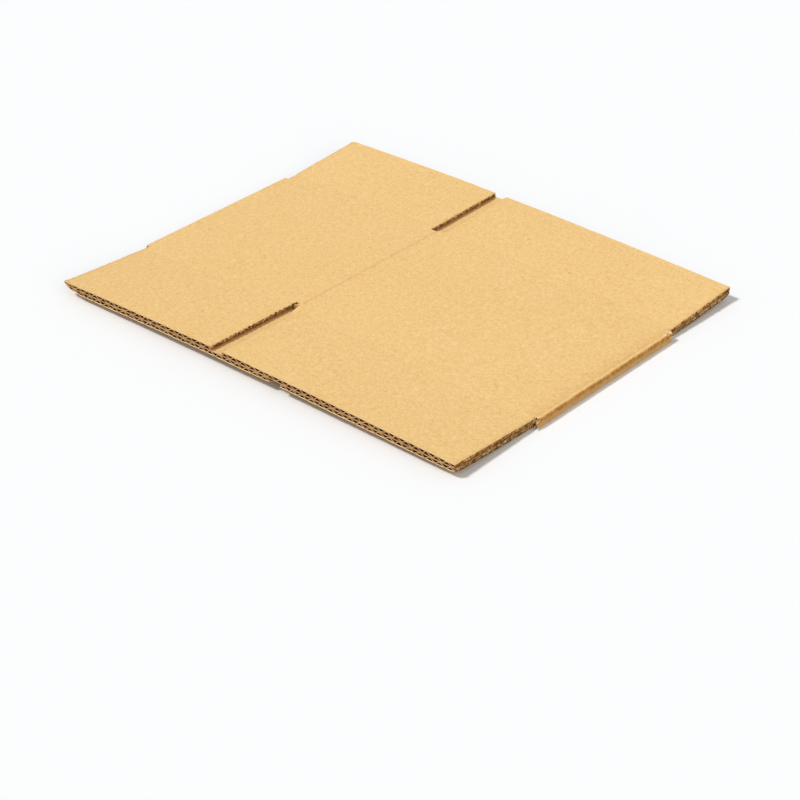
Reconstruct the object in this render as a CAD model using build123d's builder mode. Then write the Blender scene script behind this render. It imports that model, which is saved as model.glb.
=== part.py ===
"""Flattened slotted shipping box of single-wall corrugated board, in millimetres.

One sheet is folded flat over two of its four body creases and closed by a glue tab. The flutes
run along Y, from flap edge to flap edge, so their wavy section shows on the two Y sides. X runs
from fold to fold. The origin is on the floor, below the middle of the box.
"""

import os
from math import atan2, ceil, degrees, floor, hypot, radians, sin, tan

from build123d import *

# Board: two liners with a fluted medium glued between them
board_thickness = 2.9
liner_thickness = 0.35
medium_thickness = 0.25
flute_pitch = 6.35
flank_angle = 45.0
edge_crush = 0.6  # wall that the knives press shut along a cut side

# Blank: two long and two short panels, with a flap on both ends of each
panel_long = 159.9
panel_short = 115.5
body_height = 123.0
front_flap = 59.0
back_flap = 54.0
slot_width = 8.0
front_slot_depth = 64.0  # the slots run a little past the flap creases
back_slot_depth = 58.5
joint_gap = 7.6
tab_width = 35.0
tab_thickness = 1.2  # the tab is crushed, and pressed into the panel that it is glued to

# Folded form: the box is bowed, and stands on the undersides of its two folds
layer_gap = 0.2
fold_stand_out = 2.7  # how far a fold reaches past the flaps' side edges
fold_radius = 0.9
fold_hollow_width = 1.2
fold_hollow_height = 4.4
upper_rise = 2.3
lower_rise = 1.6
flap_lift = 2.2  # the flaps bend up from their creases, and this is the rise at their ends
upper_flute_shift = 0.0
lower_flute_shift = 2.1

# Creases: score lines on the outer faces, and a pressed bead inside the body crease
score_width = 1.6
score_depth = 0.15
bead_radius = 1.5
bead_depth = 0.8

# Sizes that follow
half_width = (panel_long + panel_short) / 2
flap_edge = half_width - fold_stand_out
half_depth = (body_height + front_flap + back_flap) / 2
slots_front_end = front_slot_depth - half_depth
slots_back_end = half_depth - back_slot_depth
body_run = slots_back_end - slots_front_end
upper_floor = board_thickness + layer_gap
folded_thickness = upper_floor + board_thickness
upper_crease = panel_short - half_width
lower_crease = half_width - panel_short

# Hollow of one flute: a triangle on the liner, with a flat tip that clears the medium
half_pitch = flute_pitch / 2
web_height = board_thickness - 2 * liner_thickness
flank = radians(flank_angle)
half_base = (half_pitch - medium_thickness / sin(flank)) / 2 + web_height / 2 / tan(flank)
hollow_height = web_height - medium_thickness
half_tip = half_base - hollow_height / tan(flank)


def rise_at(x, crease, rise):
    """Height that the bow gives a layer at x. It peaks at the layer's crease."""
    run = flap_edge + crease if x < crease else flap_edge - crease
    return rise * (1 - abs(x - crease) / run)


def strip(start, end, base, thickness, crease, rise):
    """Draw the section of some board between two places along X, lifted by the bow."""
    low, high = (base + rise_at(x, crease, rise) for x in (start, end))
    with BuildSketch() as section:
        with BuildLine():
            corners = [(start, low), (end, high), (end, high + thickness), (start, low + thickness)]
            Polyline(*corners, close=True)
        make_face()
    return section.sketch


def flute_places(start, end, base, crease, rise, shift):
    """List where the hollows of a panel's flutes stand: every other one hangs from the top liner."""
    slope = degrees(atan2(rise_at(end, crease, rise) - rise_at(start, crease, rise), end - start))
    first = ceil((start + edge_crush - shift) / half_pitch)
    last = floor((end - edge_crush - shift) / half_pitch)
    places = []
    for step in range(first, last + 1):
        x = shift + step * half_pitch
        hangs = step % 2 == 0
        lift = board_thickness - liner_thickness if hangs else liner_thickness
        turn = slope + 180 if hangs else slope
        places.append(Location((x, base + rise_at(x, crease, rise) + lift), turn))
    return places


# Height of the underside at the folds, crease and rise of each layer
upper_layer = (upper_floor, upper_crease, upper_rise)
lower_layer = (0, lower_crease, lower_rise)

front_crease = front_flap - half_depth
back_crease = half_depth - back_flap

# Where each stretch of the blank starts along Y, how far it runs and how much it rises
stretches = [
    (back_crease, -body_height, 0),
    (front_crease, -front_flap, flap_lift),
    (back_crease, back_flap, flap_lift),
]

# Start and end of each panel along X, its layer, its flutes' shift and its outer face at the folds
panels = [
    (-flap_edge, upper_crease - slot_width / 2, upper_layer, upper_flute_shift, folded_thickness),
    (upper_crease + slot_width / 2, flap_edge, upper_layer, upper_flute_shift, folded_thickness),
    (-flap_edge, lower_crease - joint_gap, lower_layer, lower_flute_shift, 0),
    (lower_crease, flap_edge, lower_layer, lower_flute_shift, 0),
]

with BuildSketch() as flute_hollow:
    with BuildLine():
        base_line = [(-half_base, 0), (half_base, 0)]
        Polyline(*base_line, (half_tip, hollow_height), (-half_tip, hollow_height), close=True)
    make_face()

with BuildSketch() as fold_hollow:
    Ellipse(fold_hollow_width, fold_hollow_height / 2)
    split(bisect_by=Plane.YZ, keep=Keep.TOP)

with BuildSketch() as score:
    with BuildLine():
        Polyline((-score_width, score_depth), (score_width, score_depth), (0, -score_depth), close=True)
    make_face()

# Section of the four panels: fluted board, shut along the cut sides
with BuildSketch() as fluted_section:
    for start, end, (base, crease, rise), shift, _ in panels:
        add(strip(start, end, base, board_thickness, crease, rise))
        with Locations(*flute_places(start, end, base, crease, rise, shift)):
            add(flute_hollow.sketch, mode=Mode.SUBTRACT)
        add(strip(start, start + edge_crush, base, board_thickness, crease, rise))
        add(strip(end - edge_crush, end, base, board_thickness, crease, rise))

# Score lines of the body crease, and of the flap creases across each panel's outer face
with BuildPart() as score_lines:
    with BuildSketch(Plane.XZ.offset(-slots_back_end)):
        with Locations((upper_crease, folded_thickness + upper_rise)):
            add(score.sketch)
    extrude(amount=body_run)
    for start, end, (base, crease, rise), _, skin in panels:
        first, last = (Vector(x, 0, skin + rise_at(x, crease, rise)) for x in (start, end))
        turn = 180 if skin == 0 else 0
        with BuildSketch(Plane(origin=first, x_dir=(0, 1, 0), z_dir=last - first)):
            with Locations(*(Location((y, 0), turn) for y in (front_crease, back_crease))):
                add(score.sketch)
        extrude(amount=(last - first).length)

with BuildPart() as flattened_box:
    # Four panels and, bent up a little from them, their flaps
    for crease, run, lift in stretches:
        with BuildSketch(Plane.XZ.offset(-crease)):
            add(fluted_section.sketch)
        extrude(amount=hypot(run, lift), dir=Vector(0, run, lift).normalized(), clean=False)

    # Two folds, between the slots: the outer liner runs round, and the inner one is pinched
    with BuildSketch(Plane.XZ.offset(-slots_back_end)) as folds:
        for side in (-1, 1):
            with Locations((side * (flap_edge + fold_stand_out / 2), folded_thickness / 2)):
                Rectangle(fold_stand_out, folded_thickness)
        outer_corners = folds.vertices().group_by(Axis.X)[0] + folds.vertices().group_by(Axis.X)[-1]
        fillet(outer_corners, fold_radius)
        hollow_start = half_width - liner_thickness - fold_hollow_width
        pinch = hollow_start - medium_thickness - liner_thickness - flap_edge
        for side, turn in ((-1, 180), (1, 0)):
            with Locations((side * (flap_edge + pinch / 2), board_thickness + layer_gap / 2)):
                Rectangle(pinch, layer_gap, mode=Mode.SUBTRACT)
            with Locations(Location((side * hollow_start, folded_thickness / 2), turn)):
                add(fold_hollow.sketch, mode=Mode.SUBTRACT)

    # Body crease of the upper layer with its bead, and the glue tab of the lower layer
    with BuildSketch(Plane.XZ.offset(-slots_back_end)):
        add(strip(upper_crease - slot_width / 2, upper_crease, upper_floor, board_thickness,
                  upper_crease, upper_rise))
        add(strip(upper_crease, upper_crease + slot_width / 2, upper_floor, board_thickness,
                  upper_crease, upper_rise))
        with Locations((upper_crease, upper_floor + upper_rise + bead_depth - bead_radius)):
            Circle(bead_radius, mode=Mode.SUBTRACT)
        tab_start = lower_crease - joint_gap - tab_width
        add(strip(tab_start, lower_crease, board_thickness - tab_thickness, tab_thickness,
                  lower_crease, lower_rise))
    extrude(amount=body_run, clean=False)

    add(score_lines.part, mode=Mode.SUBTRACT)

flattened_box.part.label = "flattened_box"

os.makedirs("parts", exist_ok=True)
export_step(flattened_box.part, "parts/flattened_box.step")
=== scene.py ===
"""Looks of a flattened box of corrugated board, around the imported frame.

Three papers make the board: an outer liner, a fluted medium and an inner liner. Each is a thin
closed sheet that runs round the whole folded box. Shapes are worked out in millimetres.
"""

from math import pi, radians

import bpy
import numpy as np
from mathutils import Matrix, Vector


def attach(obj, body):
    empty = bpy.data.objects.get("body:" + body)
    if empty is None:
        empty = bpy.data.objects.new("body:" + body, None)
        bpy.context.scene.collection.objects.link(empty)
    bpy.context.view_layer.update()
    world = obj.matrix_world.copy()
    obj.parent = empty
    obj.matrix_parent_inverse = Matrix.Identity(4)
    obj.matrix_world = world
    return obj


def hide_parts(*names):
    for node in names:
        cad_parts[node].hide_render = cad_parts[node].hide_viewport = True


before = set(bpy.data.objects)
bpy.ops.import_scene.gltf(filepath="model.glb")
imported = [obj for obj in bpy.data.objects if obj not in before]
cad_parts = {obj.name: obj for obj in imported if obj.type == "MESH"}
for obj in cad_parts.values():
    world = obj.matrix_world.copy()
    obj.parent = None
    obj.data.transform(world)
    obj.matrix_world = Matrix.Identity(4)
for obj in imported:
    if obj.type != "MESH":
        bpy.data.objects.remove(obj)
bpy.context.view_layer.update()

MM = 0.001

# Sizes of the board and the folded box, as in the part's source
BOARD = 2.9
LINER = 0.35
MEDIUM = 0.25
PITCH = 6.35
FLAP_EDGE = 135.0
HALF_WIDTH = 137.7
HALF_DEPTH = 118.0
HEIGHT = 10.44
BODY_FRONT = -54.0
BODY_BACK = 59.5
CREASE_FRONT = -59.0
CREASE_BACK = 64.0
FOLD_RADIUS = 0.9
UPPER_FLOOR = 3.1
UPPER_CREASE = -22.2
UPPER_RISE = 2.3
FLAP_LIFT = 2.2
SLOT_LEFT = -26.2
SLOT_RIGHT = -18.2
JOINT_LEFT = 14.6
JOINT_RIGHT = 22.2
TAB_END = -20.4
TAB = 1.2
UPPER_SHIFT = 0.0
LOWER_SHIFT = 2.1

TOP = 2 * BOARD + 0.2  # height of the upper layer's top at the folds

# Small departures from the plain shape. In the pairs, -1 is the left side and 1 the right one
CROWN = 0.5  # roundness of the bow
LAYERS_APART = 0.1  # gap that opens between the layers at the peak of the bow
CREASE_HEAVE = 1.2  # rise of the body's crease
FOLD_SAG = {-1: 1.4, 1: 0.8}  # depth to which the folds' top edges are pressed
SAG_WIDTH = {-1: 40, 1: 14}  # how far in from the folds the press is felt
BEAD = 0.8
SCORE = 0.12
SLOT_END_RUN = 2.5  # run past a slot's end in which the flaps' wear fades out

# Board lost where it was cut, as parts of its thickness
CUT_SIDE_LOSS = 0.10
CUT_END_LOSS = 0.18
CUT_END_WANDER = 0.06
CORNER_LOSS = 0.10
NEAR_LEFT_LOSS = 0.45
MOST_LOSS = 0.6

# Wear of the flaps, and the torn near end of the right fold
NESTLE = 0.22  # rise of the lower layer at its cut ends
NESTLE_RUN = 12
CURL = 0.45  # rise of the near left corner
ROUNDED_WIDTH = 2.6  # size of the far left corner's worn round
ROUNDED_DEPTH = 1.5
RECESS = 1.2  # how far the lower flaps are drawn in on the left
TOOTH_PITCH = 3.4
NEAR_TOOTH = 0.42
FAR_TOOTH = 0.26
TONGUE = 4.4  # length of the tongue left at the fold's near end
TONGUE_HEIGHT = 2.8

# Frayed edges and torn pieces
FRAY_RUN = 0.4
LINER_FRAY = 0.1  # swelling of a frayed edge
MEDIUM_FRAY = 0.36
WALL_PAPER = 0.14
SCRAP_PAPER = 0.18
RAMP_PAPER = 0.3

# Camera, in metres and in pixels of the picture
CAMERA_PLACE = (0.72002, -0.86977, 0.62924)
CAMERA_RIGHT = (0.76398581, 0.6449527, 0.01901815)
CAMERA_DOWN = (0.35026591, -0.38979705, -0.85168776)
CAMERA_FORWARD = (-0.54188511, 0.65733878, -0.52370436)
FOCAL_LENGTH = 2390.8
PICTURE_WIDTH = 800
SENSOR_WIDTH = 36

# Finish of the papers
ROUGHNESS = 0.86
SPECULAR = 0.25
RELIEF_DEPTH = 0.00005  # in metres

# Floor, as the camera sees it and as it lights the box
FLOOR_SEEN = (0.935, 0.955, 0.975, 1)
FLOOR_UNSEEN = (0.42, 0.36, 0.29, 1)
FLOOR_GLOW = 0.02


# Smooth noise, the same in each run
def wander(v, spacing, seed):
    """Smooth noise along one direction, from -1 to 1."""
    table = np.random.default_rng(seed).uniform(-1, 1, 1024)
    u = np.asarray(v, float) / spacing + 400.0
    low = np.floor(u).astype(int)
    part = u - low
    part = part * part * (3 - 2 * part)
    return table[low % 1024] * (1 - part) + table[(low + 1) % 1024] * part


def wander_2d(a, b, spacing_a, spacing_b, seed):
    """Smooth noise over two directions, from -1 to 1."""
    size = 512
    table = np.random.default_rng(seed).uniform(-1, 1, (size, size))
    u = np.asarray(a, float) / spacing_a + 200.0
    v = np.asarray(b, float) / spacing_b + 200.0
    i, j = np.floor(u).astype(int), np.floor(v).astype(int)
    p, q = u - i, v - j
    p, q = p * p * (3 - 2 * p), q * q * (3 - 2 * q)
    i, j, i2, j2 = i % size, j % size, (i + 1) % size, (j + 1) % size
    near = table[i, j] * (1 - q) + table[i, j2] * q
    far = table[i2, j] * (1 - q) + table[i2, j2] * q
    return near * (1 - p) + far * p


def saw(v, pitch):
    """Teeth that a slotting blade leaves: a steep side and a long one, from -1 to 1."""
    phase = np.asarray(v, float) / pitch % 1
    return np.where(phase < 0.25, phase * 8 - 1, 1 - (phase - 0.25) / 0.375)


# How the board lies
def toward_crease(x):
    """0 at the flaps' side edges and 1 at the crease of the upper layer."""
    run = np.where(x < UPPER_CREASE, FLAP_EDGE + UPPER_CREASE, FLAP_EDGE - UPPER_CREASE)
    return np.clip(1 - np.abs(x - UPPER_CREASE) / run, 0, 1)


def on_side(x, values):
    """Value that belongs to the left side or to the right one."""
    return np.where(x < 0, values[-1], values[1])


def bow(x, upper):
    """Height that the bow gives both layers at x. The lower one follows the upper one closely."""
    part = toward_crease(x)
    return UPPER_RISE * part + 4 * part * (1 - part) * CROWN - (0 if upper else LAYERS_APART * part)


def among_flaps(y):
    """1 among the flaps and 0 in the body, with a soft step past the slots' ends."""
    front = np.clip((BODY_FRONT - y) / SLOT_END_RUN, 0, 1)
    back = np.clip((y - BODY_BACK) / SLOT_END_RUN, 0, 1)
    return np.maximum(front, back)


def lifted(y):
    """Height that the flaps gain, bent up from their creases."""
    front = (CREASE_FRONT - y) / (CREASE_FRONT + HALF_DEPTH)
    back = (y - CREASE_BACK) / (HALF_DEPTH - CREASE_BACK)
    return FLAP_LIFT * np.clip(np.maximum(front, back), 0, 1)


def settle(x, y, upper):
    """How the body departs from the plain shape: its crease heaves, and its folds are pressed."""
    toward_end = lifted(y) / FLAP_LIFT
    heave = CREASE_HEAVE * toward_crease(x)
    near_fold = np.clip(1 - (FLAP_EDGE - np.abs(x)) / on_side(x, SAG_WIDTH), 0, 1)
    sag = on_side(x, FOLD_SAG) * near_fold ** 2 if upper else 0
    return (heave - sag) * (1 - toward_end)


def squeeze(x, y, upper):
    """Part of its thickness that the board has lost at its cut sides."""
    walls = (SLOT_LEFT, SLOT_RIGHT) if upper else (JOINT_LEFT, JOINT_RIGHT)
    lost = 0.0
    for wall in walls:
        lost = lost + CUT_SIDE_LOSS * np.exp(-((x - wall) / 1.0) ** 2)
    lost = lost + CUT_SIDE_LOSS * np.exp(-((np.abs(x) - FLAP_EDGE) / 1.3) ** 2)
    lost = lost * among_flaps(y)
    cut = np.exp(-(HALF_DEPTH - np.abs(y)) / 1.6)
    lost = lost + cut * (CUT_END_LOSS + CUT_END_WANDER * wander(x, 5.0, 11 + upper))
    return np.clip(lost + crushed_corner(x, y), 0, MOST_LOSS)


def nestled(x, y):
    """How far the lower layer rises near its cut ends, into the room that the upper one leaves."""
    near_cut = np.exp(-(HALF_DEPTH - np.abs(y)) / NESTLE_RUN)
    return (squeeze(x, y, 1) * BOARD + NESTLE) * near_cut


def curled(x, y):
    """Height that the near left corner gains, curled up a little."""
    return CURL * np.exp(-(x + FLAP_EDGE) / 3.0) * np.exp(-(y + HALF_DEPTH) / 4.0)


def crushed_corner(x, y):
    """Part of its thickness that the board has lost at its corners, most at the near left one."""
    most = np.where((x < 0) & (y < 0), NEAR_LEFT_LOSS, CORNER_LOSS)
    return most * np.exp(-(FLAP_EDGE - np.abs(x)) / 5.0) * np.exp(-(HALF_DEPTH - np.abs(y)) / 8.0)


def trimmed(x, y, upper):
    """Places after the far left corner is rounded off by wear and the lower flaps are drawn in on the
    left.
    """
    reach = np.clip((ROUNDED_WIDTH - (x + FLAP_EDGE)) / ROUNDED_WIDTH, 0, 1)
    rounding = ROUNDED_DEPTH * (1 - np.sqrt(np.maximum(1 - reach ** 2, 0)))
    y = y - rounding * np.clip((y - 105) / 13, 0, 1)
    recess = np.where(upper, 0, RECESS) * np.clip((-x - 120) / 15, 0, 1) * among_flaps(y)
    return x + recess, y


def bead(x, y):
    """How far the pressed bead of the body crease lifts the inner liner."""
    return BEAD * np.exp(-((x - UPPER_CREASE) / 1.4) ** 2) * (1 - among_flaps(y))


def scores(y):
    """Depth of the score lines in the outer faces."""
    flaps = np.exp(-((y - CREASE_FRONT) / 0.8) ** 2) + np.exp(-((y - CREASE_BACK) / 0.8) ** 2)
    return 0.5 * SCORE * flaps


# Meshes
def places(stops, step, marks=()):
    """Places between two stops, about a step apart, which hit every mark."""
    fixed = sorted({*stops, *[m for m in marks if stops[0] < m < stops[1]]})
    found = []
    for start, end in zip(fixed, fixed[1:]):
        found.extend(np.linspace(start, end, max(1, round((end - start) / step)), endpoint=False))
    return np.array(found + [stops[1]])


def add_mesh(name, points, faces, kinds, materials, sharp=35, marks=None):
    """Piece of the box from points in millimetres, kept inside the outer measures of the solid."""
    mesh = bpy.data.meshes.new(name)
    points = np.clip(points, (-HALF_WIDTH, -HALF_DEPTH, 0), (HALF_WIDTH, HALF_DEPTH, HEIGHT))
    mesh.from_pydata((points * MM).tolist(), [], faces.tolist())
    mesh.polygons.foreach_set("material_index", kinds.astype(np.int32))
    mesh.polygons.foreach_set("use_smooth", np.ones(len(faces), bool))
    for material in materials:
        mesh.materials.append(material)
    for title, values in (marks or {}).items():
        layer = mesh.attributes.new(title, "FLOAT", "POINT")
        layer.data.foreach_set("value", values.astype(np.float32))
    mesh.update()
    mesh.set_sharp_from_angle(angle=radians(sharp))
    piece = bpy.data.objects.new(name, mesh)
    bpy.context.collection.objects.link(piece)
    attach(piece, "root")
    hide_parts("flattened_box")
    return piece


def shell(outer, inner, keep, worn=None):
    """Points, faces and kinds of a closed thin sheet. Kinds: 0 outer side, 1 inner side, 2 rim."""
    used = np.zeros(outer.shape[:2], bool)
    for a, b in ((0, 0), (1, 0), (0, 1), (1, 1)):
        used[a:a + keep.shape[0], b:b + keep.shape[1]] |= keep
    count = int(used.sum())
    number = np.full(used.shape, -1)
    number[used] = np.arange(count)
    points = np.concatenate([outer[used], inner[used]])
    corner = [number[:-1, :-1], number[1:, :-1], number[1:, 1:], number[:-1, 1:]]
    a, b, c, d = (grid[keep] for grid in corner)
    faces = [np.stack([a, b, c, d], 1), np.stack([d, c, b, a], 1) + count]
    kinds = [np.zeros(len(a)), np.ones(len(a))]
    wide = np.pad(keep, 1)
    ends = (
        (wide[1:-1, :-2], (0, 1)),
        (wide[2:, 1:-1], (1, 2)),
        (wide[1:-1, 2:], (2, 3)),
        (wide[:-2, 1:-1], (3, 0)),
    )
    for neighbour, (first, second) in ends:
        open_side = keep & ~neighbour
        p, q = corner[first][open_side], corner[second][open_side]
        faces.append(np.stack([p, p + count, q + count, q], 1))
        kinds.append(np.full(len(p), 2))
    marks = None
    if worn is not None:
        marks = {"worn": np.concatenate([worn[used], worn[used]])}
    return points, np.concatenate(faces), np.concatenate(kinds), marks


def grid_normals(points):
    """Unit normals of a grid of points, pointing out of the box."""
    along = np.gradient(points, axis=0)
    across = np.gradient(points, axis=1)
    normal = np.cross(along, across)
    return normal / np.maximum(np.linalg.norm(normal, axis=2, keepdims=True), 1e-9)


def thicken(points, thickness):
    """Outer and inner side of a paper around its middle."""
    normal = grid_normals(points)
    return points + normal * thickness / 2, points - normal * thickness / 2


def fuzzy(points, thickness, extra):
    """Thickness of a paper over its grid, swollen where the knife frayed it."""
    near_cut = np.exp(-(HALF_DEPTH - np.abs(points[:, :, 1])) / FRAY_RUN)
    return (thickness + extra * near_cut)[:, :, None]


# Sections of the papers: lists of (x, height, upper, fixed), where fixed marks a fold
def fold_path(side, xs, zs):
    """Stations of a fold, from the underside up on the left and from the top down on the right."""
    stations = [(side * x, z, 1, 1) for x, z in zip(xs, zs)]
    return stations if side > 0 else stations[::-1]


def outer_fold():
    """Outer liner of the right fold, from the top to the underside, at the middle of the paper."""
    reach, radius = HALF_WIDTH - LINER / 2, FOLD_RADIUS - LINER / 2
    turn = HALF_WIDTH - FOLD_RADIUS
    xs, zs = [135.5, 136.2], [TOP - LINER / 2] * 2
    for angle in np.linspace(0, pi / 2, 6):
        xs.append(turn + radius * np.sin(angle))
        zs.append(TOP - FOLD_RADIUS + radius * np.cos(angle))
    for z in np.linspace(TOP - FOLD_RADIUS, FOLD_RADIUS, 8)[1:-1]:
        xs.append(reach)
        zs.append(z)
    for angle in np.linspace(0, pi / 2, 6):
        xs.append(turn + radius * np.cos(angle))
        zs.append(FOLD_RADIUS - radius * np.sin(angle))
    return xs + [136.2, 135.5], zs + [LINER / 2] * 2


def round_fold(flat, reach, top, bottom, count):
    """A paper inside the right fold: straight to one place, then round a half ellipse."""
    middle, half = (top + bottom) / 2, (top - bottom) / 2
    xs, zs = [], []
    for angle in np.linspace(0, pi, count):
        xs.append(flat + (reach - flat) * np.sin(angle))
        zs.append(middle + half * np.cos(angle))
    return xs, zs


def loop(lower_long, upper, lower_short, fold, low, high, tab=()):
    """Stations of a paper round the whole box, from the joint to the end of the glue tab."""
    stations = [(x, low, 0, 0) for x in lower_long[::-1]]
    stations += fold_path(-1, *fold)
    stations += [(x, high, 1, 0) for x in upper]
    stations += fold_path(1, *fold)
    stations += [(x, low, 0, 0) for x in lower_short[::-1]]
    stations += list(tab)
    return np.array(stations)


def lay(stations, ys):
    """Grid of points of a paper, with its upper and its folded stations."""
    x = np.repeat(stations[:, 0:1], len(ys), axis=1)
    z = np.repeat(stations[:, 1:2], len(ys), axis=1)
    y = np.repeat(ys[None, :], len(stations), axis=0)
    upper = stations[:, 2:3] > 0.5
    fixed = stations[:, 3:4] > 0.5
    crown = np.where(upper, UPPER_FLOOR, 0) + BOARD
    lost = np.where(upper, squeeze(x, y, 1), squeeze(x, y, 0))
    lift = np.where(upper, bow(x, 1) + settle(x, y, 1), bow(x, 0) + settle(x, y, 0)) + lifted(y)
    lift = lift + np.where(upper, 0, nestled(x, y)) + curled(x, y)
    flat = crown + (z - crown) * (1 - lost) + lift
    pressed = z - on_side(x, FOLD_SAG) * np.clip(z / TOP, 0, 1) ** 1.5
    new_x, new_y = trimmed(x, y, upper)
    new_x = np.where(fixed, x, new_x)
    return np.stack([new_x, new_y, np.where(fixed, pressed, flat)], axis=2), upper, fixed


def cells_at(stations, ys):
    """Middles of the cells of a grid, and whether they are in the upper layer or a fold."""
    x = (stations[:-1, 0] + stations[1:, 0])[:, None] / 2
    y = (ys[:-1] + ys[1:])[None, :] / 2
    upper = (np.minimum(stations[:-1, 2], stations[1:, 2]) > 0.5)[:, None]
    fold = (np.maximum(stations[:-1, 3], stations[1:, 3]) > 0.5)[:, None]
    return x, y, upper, fold


def cut_blank(stations, ys, tab_from=None, ease=0.0):
    """Cells that the blank keeps: its slots, its joint and the notches at its folds are cut away."""
    x, y, upper, fold = cells_at(stations, ys)
    flaps = (y < BODY_FRONT) | (y > BODY_BACK)
    slot = upper & (x > SLOT_LEFT - ease) & (x < SLOT_RIGHT + ease)
    keep = ~(flaps & (slot | fold))
    if tab_from is not None:
        is_tab = (np.arange(len(stations) - 1) >= tab_from)[:, None]
        keep &= ~(flaps & is_tab)
    return keep


slot_marks = [SLOT_LEFT + d for d in (-2.4, -1.2, -0.5, 0, 0.8, 1.6, 2.4, 3.2, 4.0, 4.8, 5.6, 6.4, 7.2)]
slot_marks += [SLOT_RIGHT + d for d in (0, 0.5, 1.2, 2.4)]
edge_marks = [side * (FLAP_EDGE - d) for side in (-1, 1) for d in (0.5, 1.2, 2.4)]
row_marks = [crease + d for crease in (CREASE_FRONT, CREASE_BACK) for d in (-0.8, 0, 0.8)]
row_marks += [side * (HALF_DEPTH - d) for side in (-1, 1) for d in (0.6, 1.6)]


def rows(flap_step, body_step):
    """Places along Y, with a step of their own among the flaps."""
    return np.unique(np.round(np.concatenate([
        places((-HALF_DEPTH, BODY_FRONT), flap_step, row_marks),
        places((BODY_FRONT, BODY_BACK), body_step),
        places((BODY_BACK, HALF_DEPTH), flap_step, row_marks),
    ]), 4))


# Materials
def node(tree, kind, settings=None, **inputs):
    """Shader node with its settings and inputs. i0 is its first input and i1 its second."""
    made = tree.nodes.new(kind)
    for key, value in (settings or {}).items():
        setattr(made, key, value)
    for key, value in inputs.items():
        socket = made.inputs[int(key[1:])] if key[0] == "i" and key[1:].isdigit() else None
        socket = socket or made.inputs[key.replace("_", " ")]
        if isinstance(value, bpy.types.NodeSocket):
            tree.links.new(value, socket)
        else:
            socket.default_value = value
    return made


def srgb(red, green, blue):
    """Colour of a surface from its 0 to 255 values on a screen."""
    parts = []
    for value in (red, green, blue):
        part = value / 255
        parts.append(part / 12.92 if part <= 0.04045 else ((part + 0.055) / 1.055) ** 2.4)
    return (*parts, 1.0)


def spread(tree, value, low, high, out_low, out_high):
    """Map a value between two limits to two others."""
    made = node(tree, "ShaderNodeMapRange", Value=value)
    titles = ("From Min", "From Max", "To Min", "To Max")
    for title, number in zip(titles, (low, high, out_low, out_high)):
        made.inputs[title].default_value = number
    return made.outputs["Result"]


def times(tree, first, second):
    return node(tree, "ShaderNodeMath", {"operation": "MULTIPLY"}, i0=first, i1=second).outputs[0]


def mixed(tree, amount, first, second):
    made = node(tree, "ShaderNodeMix", {"data_type": "RGBA"}, i0=amount)
    for key, value in ((6, first), (7, second)):
        if isinstance(value, bpy.types.NodeSocket):
            tree.links.new(value, made.inputs[key])
        else:
            made.inputs[key].default_value = value
    return made.outputs[2]


def noise(tree, place, scale, detail=2.0, stretch=(1, 1, 1), turn=0.0):
    mapped = node(tree, "ShaderNodeMapping", Vector=place, Scale=stretch, Rotation=(0, 0, turn))
    made = node(tree, "ShaderNodeTexNoise", Vector=mapped.outputs[0], Scale=scale, Detail=detail)
    return made.outputs["Fac"]


def specks(tree, place, scale, size, share, turn=0.0, stretch=(1, 1, 1)):
    """Scattered flecks: 1 in a fleck and 0 elsewhere, with soft edges."""
    mapped = node(tree, "ShaderNodeMapping", Vector=place, Scale=stretch, Rotation=(0, 0, turn))
    cell = node(tree, "ShaderNodeTexVoronoi", Vector=mapped.outputs[0], Scale=scale)
    fleck = spread(tree, cell.outputs["Distance"], size * 0.45, size, 1, 0)
    pick = node(tree, "ShaderNodeSeparateColor", Color=cell.outputs["Color"])
    larger = {"operation": "GREATER_THAN"}
    chosen = node(tree, "ShaderNodeMath", larger, i0=pick.outputs[0], i1=1 - share)
    return times(tree, fleck, chosen.outputs[0])


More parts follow.
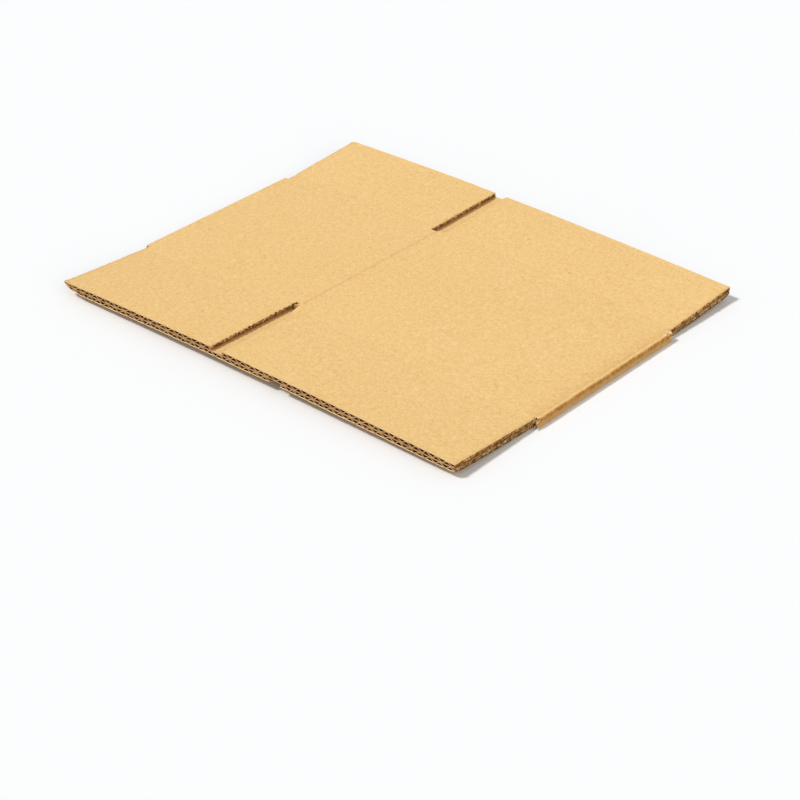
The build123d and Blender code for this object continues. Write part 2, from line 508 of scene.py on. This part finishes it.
def paper(name, colour, dark, light, grain=0.05, cloud=0.04, fibre=0.05, flecks=1.0, bump=0.35,
          worn=None, patchy=0.0):
    """Kraft paper: clouds, grain and fibres in its colour, with light and dark flecks."""
    material = bpy.data.materials.new(name)
    material.use_nodes = True
    tree = material.node_tree
    tree.nodes.clear()
    place = node(tree, "ShaderNodeTexCoord").outputs["Object"]
    clouds = noise(tree, place, 330, 3)
    patches = noise(tree, place, 16, 2)
    fine = noise(tree, place, 780, 4)
    along = noise(tree, place, 1000, 2, (0.75, 4.2, 4.2), 0.06)
    across = noise(tree, place, 900, 2, (4.0, 0.9, 4.0), 0.5)
    tone = spread(tree, clouds, 0.3, 0.7, 1 - cloud, 1 + cloud)
    tone = times(tree, tone, spread(tree, patches, 0.3, 0.7, 1 - cloud * 0.5, 1 + cloud * 0.5))
    tone = times(tree, tone, spread(tree, fine, 0.25, 0.75, 1 - grain, 1 + grain))
    tone = times(tree, tone, spread(tree, along, 0.3, 0.7, 1 - fibre, 1 + fibre))
    tone = times(tree, tone, spread(tree, across, 0.3, 0.7, 1 - fibre * 0.6, 1 + fibre * 0.6))
    base = mixed(tree, spread(tree, clouds, 0.35, 0.75, 0, 0.15), colour, light)
    base = mixed(tree, spread(tree, along, 0.62, 0.8, 0, 0.3), base, dark)
    shade = mixed(tree, spread(tree, tone, 1, 0.5, 0, 1), base, dark)
    shade = mixed(tree, spread(tree, tone, 1, 1.4, 0, 1), shade, light)
    pale = specks(tree, place, 190, 0.1, 0.16 * flecks)
    shade = mixed(tree, times(tree, pale, 0.7), shade, light)
    hair = specks(tree, place, 120, 0.075, 0.30 * flecks, 0.7, (1, 0.3, 1))
    shade = mixed(tree, times(tree, hair, 0.4), shade, dark)
    dots = specks(tree, place, 150, 0.07, 0.22 * flecks, 0.3)
    shade = mixed(tree, times(tree, dots, 0.62), shade, dark)
    if patchy:
        tufts = spread(tree, noise(tree, place, 760, 2), 0.53, 0.66, 0, patchy)
        shade = mixed(tree, tufts, shade, light)
        # Dark blotches painted as the shade in holes of the torn paper: painted shade.
        hole_shade = spread(tree, noise(tree, place, 640, 2, (1, 1, 1.4), 0.8), 0.54, 0.64, 0, patchy)
        shade = mixed(tree, hole_shade, shade, dark)
    # Mix in the darker colour where the mark is set: wear at cut sides and slots, and painted shade on
    # the folds, the body crease and near the right fold.
    if worn is not None:
        amount = node(tree, "ShaderNodeAttribute", {"attribute_name": "worn"}).outputs["Fac"]
        wear_and_shade_patches = spread(tree, noise(tree, place, 420, 3), 0.3, 0.65, 0.35, 1)
        shade = mixed(tree, times(tree, amount, wear_and_shade_patches), shade, worn)
    height = times(tree, fine, 0.5)
    height = node(tree, "ShaderNodeMath", {"operation": "ADD"}, i0=height, i1=along).outputs[0]
    relief = node(tree, "ShaderNodeBump", Strength=bump, Distance=RELIEF_DEPTH, Height=height)
    shader = node(tree, "ShaderNodeBsdfPrincipled", Base_Color=shade, Normal=relief.outputs[0])
    shader.inputs["Roughness"].default_value = ROUGHNESS
    shader.inputs["Specular IOR Level"].default_value = SPECULAR
    out = node(tree, "ShaderNodeOutputMaterial")
    tree.links.new(shader.outputs[0], out.inputs["Surface"])
    return material


# Outer kraft. Its darker mixed-in colour is partly rubbed wear and partly painted shade.
kraft = paper("kraft_outer", srgb(239, 198, 130), srgb(190, 138, 74), srgb(255, 232, 180),
              grain=0.13, cloud=0.026, fibre=0.07, worn=srgb(186, 124, 50))
# Inner kraft, a little lighter than the outer kraft to offset the shade it lies in: painted light.
inside = paper("kraft_inner", srgb(241, 200, 134), srgb(180, 132, 72), srgb(250, 220, 166), grain=0.1)
# Flute paper, set far darker than its own colour so that the hollows of the flutes look shaded: painted
# shade. It also colours the liners' faces inside the flutes.
shaded_flute = paper("flute_paper_painted_shade", srgb(104, 66, 32), srgb(64, 36, 14), srgb(138, 94, 52), cloud=0.1,
              grain=0.08, fibre=0.1)
# Cut edges: partly their own browner colour, partly darkened to paint the shade in the gaps between the
# board's layers.
cut = paper("cut_edge_and_gap_shade", srgb(198, 152, 104), srgb(136, 94, 54), srgb(232, 196, 146), cloud=0.1,
            grain=0.12, fibre=0.12)
pale = paper("liner_edge", srgb(246, 214, 152), srgb(200, 156, 98), srgb(252, 232, 190), cloud=0.08,
             grain=0.1, fibre=0.1)
torn = paper("torn_paper", srgb(158, 108, 50), srgb(84, 50, 18), srgb(240, 204, 144), cloud=0.3,
             grain=0.25, fibre=0.25, flecks=2.5, bump=0.8, patchy=0.85)
fluff = paper("torn_fibres", srgb(210, 166, 100), srgb(150, 104, 54), srgb(232, 196, 138),
              cloud=0.14, grain=0.2, fibre=0.2, bump=0.8)
cream = paper("bared_fibres", srgb(240, 212, 160), srgb(206, 166, 110), srgb(252, 234, 200),
              cloud=0.1, grain=0.14, fibre=0.14, bump=0.8)


# Outer liner
def make_outer_liner():
    ys = rows(0.85, 1.5)
    near_fold = [FLAP_EDGE - d for d in (4, 6, 8, 11)]
    upper = places((-FLAP_EDGE, FLAP_EDGE), 4.6, slot_marks + edge_marks + near_fold)
    lower_marks = edge_marks + [JOINT_LEFT - 1.2, JOINT_RIGHT + 1.2]
    lower_long = places((-FLAP_EDGE, JOINT_LEFT), 9.0, lower_marks)
    lower_short = places((JOINT_RIGHT, FLAP_EDGE), 9.0, lower_marks)
    tab_z = BOARD - TAB + LINER / 2
    tab = [(21.4, 0.9, 0, 0), (20.4, tab_z, 0, 0)]
    tab += [(x, tab_z, 0, 0) for x in np.linspace(17, TAB_END, 6)]
    stations = loop(lower_long, upper, lower_short, outer_fold(), LINER / 2, TOP - LINER / 2, tab)
    points, is_upper, fixed = lay(stations, ys)
    x, y = stations[:, 0:1], ys[None, :]
    flaps = among_flaps(y)
    # Score lines, pressed in from outside
    line = np.exp(-((x - UPPER_CREASE) / 0.7) ** 2) * (1 - flaps) * SCORE
    sink = np.where(is_upper, scores(y) + line, -scores(y)) * ~fixed
    points[:, :, 2] -= sink
    # The folds are a little uneven, and dented along their edges
    inward = -np.sign(x) * fixed
    uneven = 0.08 + 0.08 * wander_2d(points[:, :, 2] + 3 * np.sign(x), y + 0 * x, 2.4, 6.0, 21)
    dents = np.clip(wander(y + 40 * np.sign(x), 3.2, 22) - 0.5, 0, 1) * 1.3
    near_top = np.exp(-((points[:, :, 2] - TOP) / 0.9) ** 2)
    outside = np.clip((np.abs(points[:, :, 0]) - 136.2) / 1.2, 0, 1)
    points[:, :, 0] += inward * outside * (uneven + dents * near_top)
    points[:, :, 2] -= fixed * near_top * (0.05 + 0.4 * dents) * outside
    # Cut sides: the slots' blades leave teeth, and the flaps' sides are frayed
    keep = cut_blank(stations, ys, len(stations) - len(tab) - 1)
    cell_x, cell_y, cell_upper, _ = cells_at(stations, ys)
    tear = (cell_x > SLOT_LEFT) & (cell_x < SLOT_LEFT + 2.5)
    slant = BODY_FRONT + 2.4 - 0.8 * np.abs(cell_x - SLOT_LEFT - 1.6)
    keep &= ~(cell_upper & tear & (cell_y > BODY_FRONT) & (cell_y < slant))
    left = is_upper & np.isclose(x, SLOT_LEFT)
    right = is_upper & np.isclose(x, SLOT_RIGHT)
    side = ~fixed & np.isclose(np.abs(x), FLAP_EDGE)
    depth = np.where(y < 0, NEAR_TOOTH, FAR_TOOTH)
    vary = 0.7 + 0.5 * wander(y, 9.0, 30)
    teeth = depth * saw(y, TOOTH_PITCH) * vary + 0.2 * wander(y, 0.9, 31) - 0.15
    points[:, :, 0] += np.where(left & (flaps > 0), teeth, 0)
    points[:, :, 0] += np.where(right & (flaps > 0), 0.12 * wander(y, 1.3, 32), 0)
    fray = 0.15 + 0.2 * wander(y + 300 * np.sign(x), 0.9, 33) + 0.12 * saw(y, 2.1)
    inland = np.clip((HALF_DEPTH - np.abs(y)) / 3, 0.1, 1) * np.clip((np.abs(y) - 50) / 12, 0.3, 1)
    points[:, :, 0] -= np.where(side & (flaps > 0), np.sign(x) * np.clip(fray, -0.05, 1) * inland, 0)
    ends = np.isclose(np.abs(y), HALF_DEPTH)
    nibble = np.clip(0.08 + 0.09 * wander(x, 3.4, 34), 0, 1) * np.clip((FLAP_EDGE - np.abs(x)) / 4, 0, 1)
    points[:, :, 1] -= np.where(ends, np.sign(y) * nibble, 0)
    # The fold's ends are torn
    front_end = fixed & np.isclose(y, BODY_FRONT)
    back_end = fixed & np.isclose(y, BODY_BACK)
    along = np.cumsum(np.ones(len(stations)))[:, None]
    ragged = 0.45 * wander(along, 1.3, 35)
    points[:, :, 1] += np.where(front_end | back_end, ragged, 0)
    # A tongue of the outer liner is left at the near end of the right fold
    off_middle = np.abs(stations[:, 1:2] - TONGUE_HEIGHT) / TONGUE_HEIGHT
    tongue = TONGUE * np.clip(1 - off_middle, 0, 1) ** 0.8
    stretch = np.clip(1 - (y - BODY_FRONT) / 6, 0, 1) * (y > BODY_FRONT - 0.01)
    points[:, :, 1] -= fixed * (x > 0) * tongue * stretch
    # The left fold is drawn in a little
    points[:, :, 0] += np.where(fixed & (x < 0), 0.5 * np.clip((points[:, :, 2] - 2.5) / 3, 0, 1), 0)
    # Rubbed and handled places at the flaps' cut sides and the slots' edges, and painted shade along the
    # body crease, over the folds' faces and on the top face near the right fold
    worn = 0.55 * np.exp(-(FLAP_EDGE - np.abs(x)) / 0.7) * flaps * ~fixed
    worn = worn + 0.5 * np.exp(-np.abs(x - SLOT_LEFT) / 0.5) * flaps * is_upper
    worn = worn + 0.3 * np.exp(-np.abs(x - SLOT_RIGHT) / 0.5) * flaps * is_upper
    # Darker line along the body crease: painted shade in the crease.
    worn = worn + 0.30 * np.exp(-((x - UPPER_CREASE) / 0.8) ** 2) * (1 - flaps) * is_upper * ~fixed
    # Each fold's face darker towards its top edge: partly rubbed wear, partly painted shade.
    fold_rub_and_shade = 1.5 * np.clip(points[:, :, 2] / TOP, 0, 1) ** 1.3
    worn = worn + fold_rub_and_shade * fixed * np.clip((np.abs(points[:, :, 0]) - 136.6) / 0.5, 0, 1)
    # Top face darker near the right fold: painted shade of the sheet curving down to the fold.
    worn = worn + 0.3 * np.exp(-(FLAP_EDGE - x) / 3.5) * (1 - flaps) * is_upper * ~fixed
    outer, inner = thicken(points, fuzzy(points, LINER, LINER_FRAY))
    made = shell(outer, inner, keep, np.clip(worn + 0 * points[:, :, 0], 0, 1))
    return add_mesh("outer_liner", *made[:3], [kraft, shaded_flute, pale], marks=made[3])


# Inner liner
def make_inner_liner():
    ys = rows(1.7, 6.0)
    upper = places((-FLAP_EDGE, FLAP_EDGE), 9.0, slot_marks + edge_marks)
    lower_marks = edge_marks + [JOINT_LEFT - 1.2, TAB_END - 0.5, TAB_END - 2.5, JOINT_RIGHT + 1.2]
    lower_long = places((-FLAP_EDGE, JOINT_LEFT), 9.0, lower_marks)
    lower_short = places((JOINT_RIGHT, FLAP_EDGE), 9.0, lower_marks)
    low, high = BOARD - LINER / 2, UPPER_FLOOR + LINER / 2
    fold = round_fold(135.2, 135.6, high, low, 9)
    tab = [(x, low, 0, 0) for x in np.linspace(20, TAB_END, 6)]
    stations = loop(lower_long, upper, lower_short, fold, low, high, tab)
    points, is_upper, fixed = lay(stations, ys)
    x, y = stations[:, 0:1], ys[None, :]
    points[:, :, 2] += np.where(is_upper & ~fixed, bead(x, y), 0)
    # The long lower panel is pressed in where the tab is glued to it
    is_tab = (np.arange(len(stations)) >= len(stations) - len(tab) - 1)[:, None]
    pressed = ~is_upper & ~fixed & ~is_tab & (x > TAB_END - 1) & (x < JOINT_LEFT + 0.5)
    points[:, :, 2] -= np.where(pressed, (TAB + 0.02) * (1 - among_flaps(y)), 0)
    keep = cut_blank(stations, ys, len(stations) - len(tab) - 1)
    flaps = among_flaps(y)
    sides = ~fixed & np.isclose(np.abs(x), FLAP_EDGE)
    rough = 0.15 + 0.2 * wander(y + 300 * np.sign(x), 1.9, 41)
    points[:, :, 0] -= np.where(sides & (flaps > 0), np.sign(x) * np.clip(rough, 0, 1), 0)
    left = is_upper & np.isclose(x, SLOT_LEFT)
    points[:, :, 0] += np.where(left & (flaps > 0), 0.2 * wander(y, 1.9, 42) - 0.1, 0)
    outer, inner = thicken(points, fuzzy(points, LINER, LINER_FRAY))
    made = shell(outer, inner, keep)
    return add_mesh("inner_liner", *made[:3], [shaded_flute, inside, cut])


# Fluted medium
def make_medium():
    near_cut = [117.7, 117.2, 116.4, 115.0, 112.0, 105.0, 85.0]
    near_cut += [HALF_DEPTH - 0.05, 20.0]
    inland = [BODY_FRONT, BODY_BACK, CREASE_FRONT, CREASE_BACK]
    ys = np.array(sorted([-v for v in near_cut] + near_cut + inland))
    step = PITCH / 16
    upper = places((-FLAP_EDGE, FLAP_EDGE), step, (SLOT_LEFT, SLOT_RIGHT))
    lower_long = places((-FLAP_EDGE, JOINT_LEFT), step)
    lower_short = places((JOINT_RIGHT, FLAP_EDGE), step)
    low, high = BOARD / 2, UPPER_FLOOR + BOARD / 2
    fold = round_fold(135.2, 136.3, high, low, 21)
    stations = loop(lower_long, upper, lower_short, fold, low, high)
    points, is_upper, fixed = lay(stations, ys)
    x, y = stations[:, 0:1], ys[None, :]
    shift = np.where(is_upper, UPPER_SHIFT, LOWER_SHIFT)
    lost = np.where(is_upper, squeeze(x, y, 1), squeeze(x, y, 0))
    flute_number = np.floor((x - shift) / PITCH + 0.25)
    layer = np.where(is_upper, 1, 0)
    # Each flute leans and is crushed a little differently where the knife cut it
    cut_depth = np.exp(-(HALF_DEPTH - np.abs(y)) / 2.2)
    code = flute_number * 7.0 + layer * 611.0 + 97.0 * np.sign(y)
    lean = wander(code, 1.0, 51) * 0.55 * cut_depth + wander(code + 3.1, 1.0, 52) * 0.12
    crush = np.clip(wander(code + 5.3, 1.0, 53) - 0.25, 0, 1) * 0.45 * cut_depth
    clear = (BOARD - 2 * LINER) * (1 - lost)
    raised = np.where(is_upper & ~fixed, bead(x, y), 0)
    near_fold = np.clip((np.abs(x) - 128.5) / 5.5, 0, 1) * (1 - among_flaps(y))
    amplitude = (clear - MEDIUM - raised) / 2 * (1 - 0.8 * near_fold)
    amplitude = np.where(fixed, 0.05, np.maximum(amplitude, 0.1))
    phase = 2 * pi * (x - shift) / PITCH
    wave = -np.cos(phase) * (1 + 0.12 * np.cos(2 * phase)) / 1.12
    wave = np.clip(wave * 1.06, -1, 1)
    points[:, :, 2] += amplitude * wave * (1 - crush * np.sign(wave) * (wave > 0)) + raised / 2
    points[:, :, 0] += np.where(fixed, 0, lean * wave)
    tab_zone = ~is_upper & ~fixed & (x > TAB_END - 1) & (x < JOINT_LEFT + 0.5)
    flat = 1 - among_flaps(y)
    points[:, :, 2] -= np.where(tab_zone, flat * (TAB / 2 + amplitude * wave * 0.72), 0)
    keep = cut_blank(stations, ys, ease=-0.01)
    cell_x, cell_y, _, _ = cells_at(stations, ys)
    cell_flaps = (cell_y < BODY_FRONT) | (cell_y > BODY_BACK)
    keep &= ~(cell_flaps & (np.abs(cell_x) > FLAP_EDGE - 0.6))
    outer, inner = thicken(points, fuzzy(points, MEDIUM, MEDIUM_FRAY))
    made = shell(outer, inner, keep)
    return add_mesh("fluted_medium", *made[:3], [shaded_flute, shaded_flute, cut], sharp=50)


# Torn walls of the cut sides
def make_wall(name, wall, facing, upper, span, seed):
    """Rumpled, torn medium between the liners along one cut side."""
    ys = places(span, 0.6)
    levels = np.linspace(0, 1, 8)
    y = np.repeat(ys[:, None], len(levels), axis=1)
    level = np.repeat(levels[None, :], len(ys), axis=0)
    x = np.full_like(y, wall)
    lost = squeeze(x, y, upper)
    crown = (UPPER_FLOOR if upper else 0) + BOARD + bow(x, upper) + settle(x, y, upper) + lifted(y)
    crown = crown + curled(x, y) + (0 if upper else nestled(x, y))
    middle = crown - BOARD / 2 * (1 - lost)
    room = (BOARD / 2 - LINER * 0.6) * (1 - lost)
    rumple = 0.5 * wander_2d(y, level * 3.0, 1.3, 0.55, seed)
    rumple = rumple + 0.25 * wander_2d(y, level * 3.0, 0.7, 0.4, seed + 1)
    inset = 0.42 - 0.30 * np.cos(pi * (level - 0.5) * 1.2) + 0.62 * rumple
    x = wall - facing * np.clip(inset, -0.12, 1.4)
    z = middle + room * (1 - 2 * level) + 0.12 * wander_2d(y, level * 3, 1.0, 0.8, seed + 2)
    points = np.stack([*trimmed(x, y, upper), z], axis=2)
    if facing < 0:
        points = points[:, ::-1]
    gaps = wander_2d(y[:-1, :-1], level[:-1, :-1] * 3, 1.1, 0.5, seed + 3)
    edge = (level[:-1, :-1] < 0.1) | (level[:-1, :-1] > 0.8)
    keep = (gaps < 0.92) | edge
    if facing < 0:
        keep = keep[:, ::-1]
    outer, inner = thicken(points, WALL_PAPER)
    made = shell(outer, inner, keep)
    return add_mesh(name, *made[:3], [torn, torn, cut], sharp=40)


def make_walls():
    walls = [
        ("slot_left", SLOT_LEFT, 1, 1), ("slot_right", SLOT_RIGHT, -1, 1),
        ("upper_left", -FLAP_EDGE, -1, 1), ("upper_right", FLAP_EDGE, 1, 1),
        ("joint_left", JOINT_LEFT, 1, 0), ("joint_right", JOINT_RIGHT, -1, 0),
        ("lower_left", -FLAP_EDGE, -1, 0), ("lower_right", FLAP_EDGE, 1, 0),
    ]
    for number, (title, wall, facing, upper) in enumerate(walls):
        for end, span in (("front", (-117.9, BODY_FRONT)), ("back", (BODY_BACK, 117.9))):
            seed = 1000 + 40 * number + (20 if end == "back" else 0)
            make_wall(f"wall_{title}_{end}", wall, facing, upper, span, seed)


# Torn and pressed pieces
def top_at(x, y):
    """Height of the top face."""
    x, y = np.asarray(x, float), np.asarray(y, float)
    return TOP + bow(x, 1) + settle(x, y, 1) + lifted(y)


def make_ramp(name, end, run, x_from, x_to, seed):
    """Strip of board pressed down into the end of a slot: it slopes from the top face to its floor."""
    part = np.linspace(0, 1, 15)[:, None] + 0 * np.ones(11)[None, :]
    across = np.linspace(0, 1, 11)[None, :] + 0 * part
    y = end + run * (part - 0.04)
    left = x_from + (x_to - x_from) * 0.75 * part ** 1.5 + 0.25 * wander(y, 1.5, seed)
    x = left + (x_to - left) * across
    drop = 2.95 * part * part * (3 - 2 * part)
    side = 0.9 * (1 - across) ** 2
    z = top_at(x, y) - 0.2 - drop - side * (1 - part)
    points = np.stack([x, y, z], axis=2)
    if run > 0:
        points = points[::-1]
    outer, inner = thicken(points[:, ::-1], RAMP_PAPER)
    made = shell(outer, inner, np.ones((14, 10), bool))
    return add_mesh(name, *made[:3], [kraft, kraft, pale], sharp=60)


def make_scrap(name, start, along, across, curl, seed, narrow=0.8, material=fluff):
    """Small torn piece of paper, held at its start, with a ragged and curled tip."""
    part = np.linspace(0, 1, 13)[:, None] + 0 * np.ones(9)[None, :]
    side = np.linspace(-0.5, 0.5, 9)[None, :] + 0 * part
    width = 1 - narrow * part ** 1.4 + 0.22 * wander(part * 8 + side * 2, 1.0, seed)
    reach = part * (1 + 0.22 * wander(side * 9, 1.0, seed + 1))
    points = [
        start[k] + along[k] * reach + across[k] * side * width
        + (curl * part ** 2 if k == 2 else 0) + 0.12 * wander_2d(part * 5, side * 5, 1, 1, seed + 2 + k)
        for k in range(3)
    ]
    outer, inner = thicken(np.stack(points, axis=2), SCRAP_PAPER)
    made = shell(outer, inner, np.ones((12, 8), bool))
    return add_mesh(name, *made[:3], [material, material, cut], sharp=60)


def make_torn_pieces():
    slot_top = float(top_at(SLOT_LEFT + 2, BODY_FRONT))
    make_ramp("ramp_near", BODY_FRONT, -15, SLOT_LEFT + 2.9, SLOT_RIGHT + 0.1, 81)
    make_ramp("ramp_far", BODY_BACK, 15, SLOT_LEFT + 2.9, SLOT_RIGHT + 0.1, 82)
    make_scrap("scrap_slot", (SLOT_LEFT + 4.6, BODY_FRONT + 1.6, slot_top - 0.25), (-2.6, -3.2, -1.5),
               (1.5, 1.2, 0), 0.5, 83, 0.5)
    make_scrap("scrap_slot_dark", (SLOT_LEFT + 0.9, BODY_FRONT + 0.2, slot_top - 0.9), (0.3, -1.6, -1.3),
               (1.8, 0, -0.6), 0.2, 87, 0.4)
    make_scrap("scrap_slot_bed", (SLOT_LEFT + 1.4, BODY_FRONT + 3.0, slot_top - 0.55), (0.4, -4.6, -0.9),
               (3.6, 0.2, 0), 0, 103, 0.1, torn)
    near_top = float(top_at(FLAP_EDGE, BODY_FRONT))
    make_scrap("scrap_near", (FLAP_EDGE + 1.3, BODY_FRONT + 0.1, near_top - 1.3), (0.4, -2.6, -0.8),
               (1.1, 0.2, -1.9), 0.5, 91, 0.8, cream)
    make_scrap("scrap_near_dark", (FLAP_EDGE + 0.1, BODY_FRONT - 1.0, near_top - 0.4), (0.9, -3.2, -0.4),
               (1.0, 0.4, -1.8), -0.2, 93, 0.6)
    far_top = float(top_at(FLAP_EDGE, BODY_BACK))
    make_scrap("scrap_far", (FLAP_EDGE + 0.1, BODY_BACK - 1.8, far_top + 0.1), (2.3, 0.4, 0.5),
               (0.6, 6.2, 0.4), -1.1, 96, 0.35, cream)
    make_scrap("scrap_far_tip", (FLAP_EDGE - 0.6, BODY_BACK + 0.6, far_top + 0.2), (1.6, -3.0, 0.9),
               (1.9, 0.9, -0.6), -0.6, 105, 0.5, cream)
    make_scrap("scrap_far_low", (HALF_WIDTH - 0.3, BODY_BACK - 3.6, far_top - 2.0), (0.1, 5.4, -0.8),
               (-0.2, 0.4, -1.8), 0.2, 99, 0.3, cream)


make_outer_liner()
make_inner_liner()
make_medium()
make_walls()
make_torn_pieces()


# Floor, light and camera
def make_floor():
    bpy.ops.mesh.primitive_plane_add(size=12, location=(0, 0, -0.00002))
    floor = bpy.context.object
    floor.name = "floor"
    material = bpy.data.materials.new("floor")
    material.use_nodes = True
    tree = material.node_tree
    tree.nodes.clear()
    rays = node(tree, "ShaderNodeLightPath")
    seen = rays.outputs["Is Camera Ray"]
    larger = {"operation": "MAXIMUM"}
    for title in ("Is Glossy Ray", "Is Transmission Ray"):
        seen = node(tree, "ShaderNodeMath", larger, i0=seen, i1=rays.outputs[title]).outputs[0]
    white = node(tree, "ShaderNodeBsdfDiffuse", Color=FLOOR_SEEN)
    glow = node(tree, "ShaderNodeEmission", Color=(1, 1, 1, 1), Strength=FLOOR_GLOW)
    bright = node(tree, "ShaderNodeAddShader", i0=white.outputs[0], i1=glow.outputs[0])
    dull = node(tree, "ShaderNodeBsdfDiffuse", Color=FLOOR_UNSEEN)
    both = node(tree, "ShaderNodeMixShader", i0=seen, i1=dull.outputs[0], i2=bright.outputs[0])
    out = node(tree, "ShaderNodeOutputMaterial")
    tree.links.new(both.outputs[0], out.inputs["Surface"])
    floor.data.materials.append(material)


def make_sun(name, place, strength, spread_angle, colour=(1, 1, 1)):
    data = bpy.data.lights.new(name, "SUN")
    data.energy = strength
    data.angle = radians(spread_angle)
    data.color = colour
    lamp = bpy.data.objects.new(name, data)
    bpy.context.collection.objects.link(lamp)
    lamp.location = place
    lamp.rotation_euler = (-Vector(place)).to_track_quat("-Z", "Y").to_euler()


def make_world(strength):
    world = bpy.data.worlds.new("studio")
    bpy.context.scene.world = world
    world.use_nodes = True
    tree = world.node_tree
    tree.nodes.clear()
    rays = node(tree, "ShaderNodeLightPath")
    seen = node(tree, "ShaderNodeBackground", Color=(1, 1, 1, 1), Strength=1.0)
    unseen = node(tree, "ShaderNodeBackground", Color=(1, 1, 1, 1), Strength=strength)
    mix = node(tree, "ShaderNodeMixShader", i0=rays.outputs["Is Camera Ray"], i1=unseen.outputs[0],
               i2=seen.outputs[0])
    out = node(tree, "ShaderNodeOutputWorld")
    tree.links.new(mix.outputs[0], out.inputs["Surface"])


def make_camera():
    data = bpy.data.cameras.new("camera")
    data.sensor_width = SENSOR_WIDTH
    data.lens = FOCAL_LENGTH / PICTURE_WIDTH * SENSOR_WIDTH
    data.clip_start = 0.01
    camera = bpy.data.objects.new("camera", data)
    bpy.context.collection.objects.link(camera)
    turn = Matrix((CAMERA_RIGHT, -Vector(CAMERA_DOWN), -Vector(CAMERA_FORWARD))).transposed()
    camera.matrix_world = Matrix.Translation(CAMERA_PLACE) @ turn.to_4x4()
    bpy.context.scene.camera = camera


make_floor()
make_sun("key", (-0.58, -0.90, 1.39), strength=2.10, spread_angle=10)
make_sun("fill", (1.2, -0.5, 0.45), strength=1.02, spread_angle=60, colour=(1, 0.89, 0.76))
make_world(strength=0.38)
make_camera()

scene = bpy.context.scene
scene.view_settings.view_transform = "Standard"
